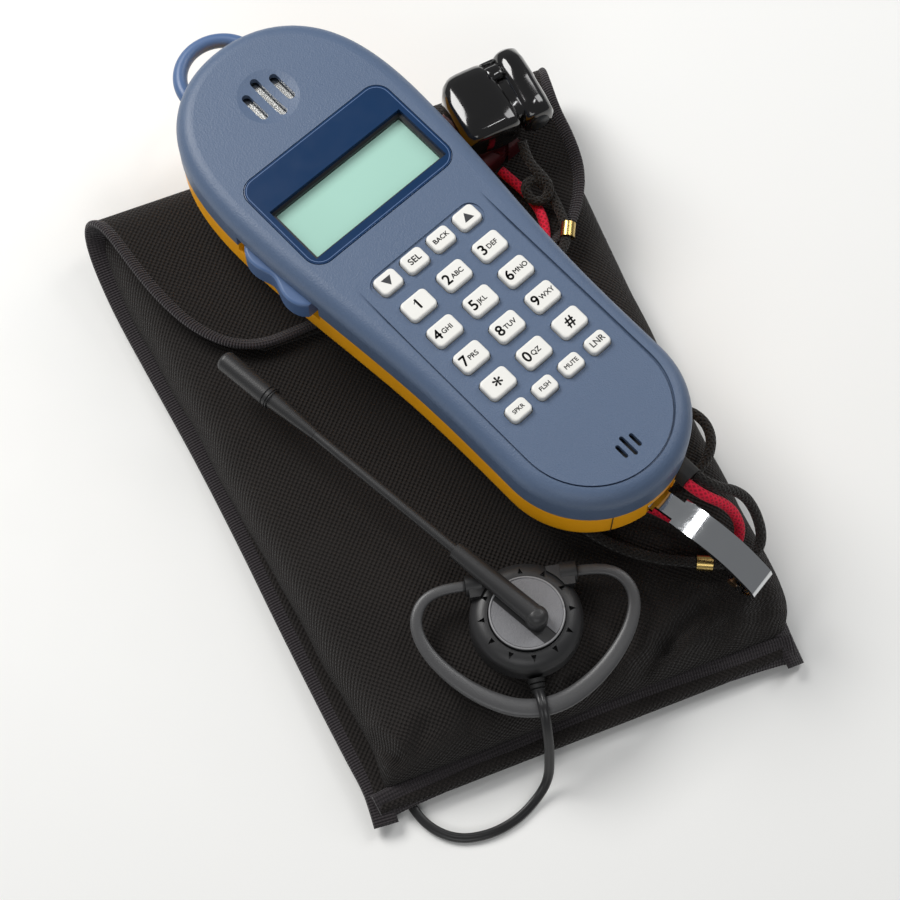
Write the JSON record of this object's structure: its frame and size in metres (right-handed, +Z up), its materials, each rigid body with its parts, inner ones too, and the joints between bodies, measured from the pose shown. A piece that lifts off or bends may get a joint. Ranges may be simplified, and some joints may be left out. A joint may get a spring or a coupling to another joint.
{
  "type": "lineman's test telephone kit",
  "caption": "Lineman's test handset with keypad, display, belt hook and clip leads, with a boom-microphone ear headset, on a padded belt pouch.",
  "frame": {"origin": "on the floor, under the middle of the pouch", "axes": "+Z up out of the pouch's front, +Y towards the pouch's flap, +X to the right seen from above with the flap at the top"},
  "size_m": [0.195, 0.3275, 0.08],
  "materials": {
    "casing_blue": "fine grained matte",
    "casing_amber": "satin",
    "ring_blue": "satin",
    "bezel_navy": "gloss",
    "lcd_mint": "matte",
    "key_white": "satin",
    "mat_rubber": "matte",
    "board_green": "gloss",
    "speaker_metal": "brushed",
    "mic_metal": "satin",
    "battery_wrap": "gloss",
    "screw_steel": "zinc plated",
    "gland_rubber": "matte",
    "hook_chrome": "polished",
    "gate_grey": "satin",
    "rivet_bronze": "dull",
    "lead_red": "braided",
    "lead_black": "braided",
    "hank_cord": "braided",
    "ferrule_brass": "satin",
    "clip_black": "gloss",
    "clip_red": "matte",
    "headset_black": "satin",
    "headset_cable": "satin",
    "pouch_nylon": "coarse woven nylon"
  },
  "bodies": {
    "pouch_and_headset": {"pouch_back": "pouch_nylon", "pouch_front": "pouch_nylon", "pouch_gussets": "pouch_nylon", "pouch_flap": "pouch_nylon", "ear_capsule": "headset_black", "headset_speaker": "speaker_metal", "lead_strain_relief": "gland_rubber", "headset_lead": "headset_cable", "lead_hank": "headset_cable", "headset_plug": "headset_cable"},
    "handset": {"front_shell": "casing_blue", "rear_shell": "casing_amber", "end_cap": "casing_amber", "hanging_ring": "ring_blue", "display_bezel": "bezel_navy", "lcd_panel": "lcd_mint", "keypad_mat": "mat_rubber", "circuit_board": "board_green", "earpiece_speaker": "speaker_metal", "microphone_capsule": "mic_metal", "battery": "battery_wrap", "shell_screws": "screw_steel", "cord_gland": "gland_rubber", "hook_pivot_pin": "screw_steel", "red_line_cord": "lead_red", "black_line_cord": "lead_black", "line_cord_hanks": "hank_cord", "cord_ferrules": "ferrule_brass", "black_clip_body": "clip_black", "red_clip_body": "clip_red"},
    "key_nav_down_body": {"key_nav_down": "key_white"},
    "key_select_body": {"key_select": "key_white"},
    "key_back_body": {"key_back": "key_white"},
    "key_nav_up_body": {"key_nav_up": "key_white"},
    "key_1_body": {"key_1": "key_white"},
    "key_2_body": {"key_2": "key_white"},
    "key_3_body": {"key_3": "key_white"},
    "key_4_body": {"key_4": "key_white"},
    "key_5_body": {"key_5": "key_white"},
    "key_6_body": {"key_6": "key_white"},
    "key_7_body": {"key_7": "key_white"},
    "key_8_body": {"key_8": "key_white"},
    "key_9_body": {"key_9": "key_white"},
    "key_star_body": {"key_star": "key_white"},
    "key_0_body": {"key_0": "key_white"},
    "key_hash_body": {"key_hash": "key_white"},
    "key_speaker_body": {"key_speaker": "key_white"},
    "key_flash_body": {"key_flash": "key_white"},
    "key_mute_body": {"key_mute": "key_white"},
    "key_last_number_body": {"key_last_number": "key_white"},
    "mode_switch_body": {"mode_switch": "ring_blue"},
    "belt_hook_body": {"belt_hook": "hook_chrome", "gate_pin": "rivet_bronze"},
    "hook_gate_body": {"hook_gate": "gate_grey"},
    "black_jaw": {"black_clip_jaw": "clip_black"},
    "red_jaw": {"red_clip_jaw": "clip_red"},
    "boom": {"boom_hub": "headset_black", "boom_rod": "headset_black", "boom_mic": "headset_black"},
    "ear_loop": {"ear_hook": "headset_black"}
  },
  "joints": [
    {"name": "handset_lift", "type": "slide", "parent": "pouch_and_headset", "child": "handset", "axis": [0, 0, 1], "range_m": [0, 0.12]},
    {"name": "press_key_nav_down", "type": "slide", "parent": "handset", "child": "key_nav_down_body", "axis": [0, 0, -1], "range_m": [0, 0.001], "stiffness_N_per_m": 600},
    {"name": "press_key_select", "type": "slide", "parent": "handset", "child": "key_select_body", "axis": [0, 0, -1], "range_m": [0, 0.001], "stiffness_N_per_m": 600},
    {"name": "press_key_back", "type": "slide", "parent": "handset", "child": "key_back_body", "axis": [0, 0, -1], "range_m": [0, 0.001], "stiffness_N_per_m": 600},
    {"name": "press_key_nav_up", "type": "slide", "parent": "handset", "child": "key_nav_up_body", "axis": [0, 0, -1], "range_m": [0, 0.001], "stiffness_N_per_m": 600},
    {"name": "press_key_1", "type": "slide", "parent": "handset", "child": "key_1_body", "axis": [0, 0, -1], "range_m": [0, 0.001], "stiffness_N_per_m": 600},
    {"name": "press_key_2", "type": "slide", "parent": "handset", "child": "key_2_body", "axis": [0, 0, -1], "range_m": [0, 0.001], "stiffness_N_per_m": 600},
    {"name": "press_key_3", "type": "slide", "parent": "handset", "child": "key_3_body", "axis": [0, 0, -1], "range_m": [0, 0.001], "stiffness_N_per_m": 600},
    {"name": "press_key_4", "type": "slide", "parent": "handset", "child": "key_4_body", "axis": [0, 0, -1], "range_m": [0, 0.001], "stiffness_N_per_m": 600},
    {"name": "press_key_5", "type": "slide", "parent": "handset", "child": "key_5_body", "axis": [0, 0, -1], "range_m": [0, 0.001], "stiffness_N_per_m": 600},
    {"name": "press_key_6", "type": "slide", "parent": "handset", "child": "key_6_body", "axis": [0, 0, -1], "range_m": [0, 0.001], "stiffness_N_per_m": 600},
    {"name": "press_key_7", "type": "slide", "parent": "handset", "child": "key_7_body", "axis": [0, 0, -1], "range_m": [0, 0.001], "stiffness_N_per_m": 600},
    {"name": "press_key_8", "type": "slide", "parent": "handset", "child": "key_8_body", "axis": [0, 0, -1], "range_m": [0, 0.001], "stiffness_N_per_m": 600},
    {"name": "press_key_9", "type": "slide", "parent": "handset", "child": "key_9_body", "axis": [0, 0, -1], "range_m": [0, 0.001], "stiffness_N_per_m": 600},
    {"name": "press_key_star", "type": "slide", "parent": "handset", "child": "key_star_body", "axis": [0, 0, -1], "range_m": [0, 0.001], "stiffness_N_per_m": 600},
    {"name": "press_key_0", "type": "slide", "parent": "handset", "child": "key_0_body", "axis": [0, 0, -1], "range_m": [0, 0.001], "stiffness_N_per_m": 600},
    {"name": "press_key_hash", "type": "slide", "parent": "handset", "child": "key_hash_body", "axis": [0, 0, -1], "range_m": [0, 0.001], "stiffness_N_per_m": 600},
    {"name": "press_key_speaker", "type": "slide", "parent": "handset", "child": "key_speaker_body", "axis": [0, 0, -1], "range_m": [0, 0.001], "stiffness_N_per_m": 600},
    {"name": "press_key_flash", "type": "slide", "parent": "handset", "child": "key_flash_body", "axis": [0, 0, -1], "range_m": [0, 0.001], "stiffness_N_per_m": 600},
    {"name": "press_key_mute", "type": "slide", "parent": "handset", "child": "key_mute_body", "axis": [0, 0, -1], "range_m": [0, 0.001], "stiffness_N_per_m": 600},
    {"name": "press_key_last_number", "type": "slide", "parent": "handset", "child": "key_last_number_body", "axis": [0, 0, -1], "range_m": [0, 0.001], "stiffness_N_per_m": 600},
    {"name": "mode_switch_slide", "type": "slide", "parent": "handset", "child": "mode_switch_body", "axis": [-0.3633, 0.9317, 0], "range_m": [-0.003, 0.003]},
    {"name": "belt_hook_swing", "type": "hinge", "parent": "handset", "child": "belt_hook_body", "pos_m": [0.04856, -0.0618, 0.0516], "axis": [-0.8634, -0.5045, 0], "range_deg": [0, 35]},
    {"name": "hook_gate_open", "type": "hinge", "parent": "belt_hook_body", "child": "hook_gate_body", "pos_m": [0.07, -0.0985, 0.0401], "axis": [-0.8634, -0.5045, 0], "range_deg": [0, 18], "stiffness_Nm_per_rad": 0.08},
    {"name": "black_clip_open", "type": "hinge", "parent": "handset", "child": "black_jaw", "pos_m": [0.06342, 0.09911, 0.0526], "axis": [0, 0, -1], "range_deg": [0, 18], "stiffness_Nm_per_rad": 0.15},
    {"name": "red_clip_open", "type": "hinge", "parent": "handset", "child": "red_jaw", "pos_m": [0.05315, 0.09798, 0.0363], "axis": [0, 0, -1], "range_deg": [0, 18], "stiffness_Nm_per_rad": 0.15},
    {"name": "boom_turn", "type": "hinge", "parent": "pouch_and_headset", "child": "boom", "pos_m": [-0.0095, -0.085, 0.046], "axis": [0, 0, 1], "range_deg": [-5, 150]},
    {"name": "ear_hook_swing", "type": "hinge", "parent": "pouch_and_headset", "child": "ear_loop", "pos_m": [-0.00619, -0.07088, 0.0375], "axis": [-0.9736, 0.2284, 0], "range_deg": [0, 90]}
  ]
}
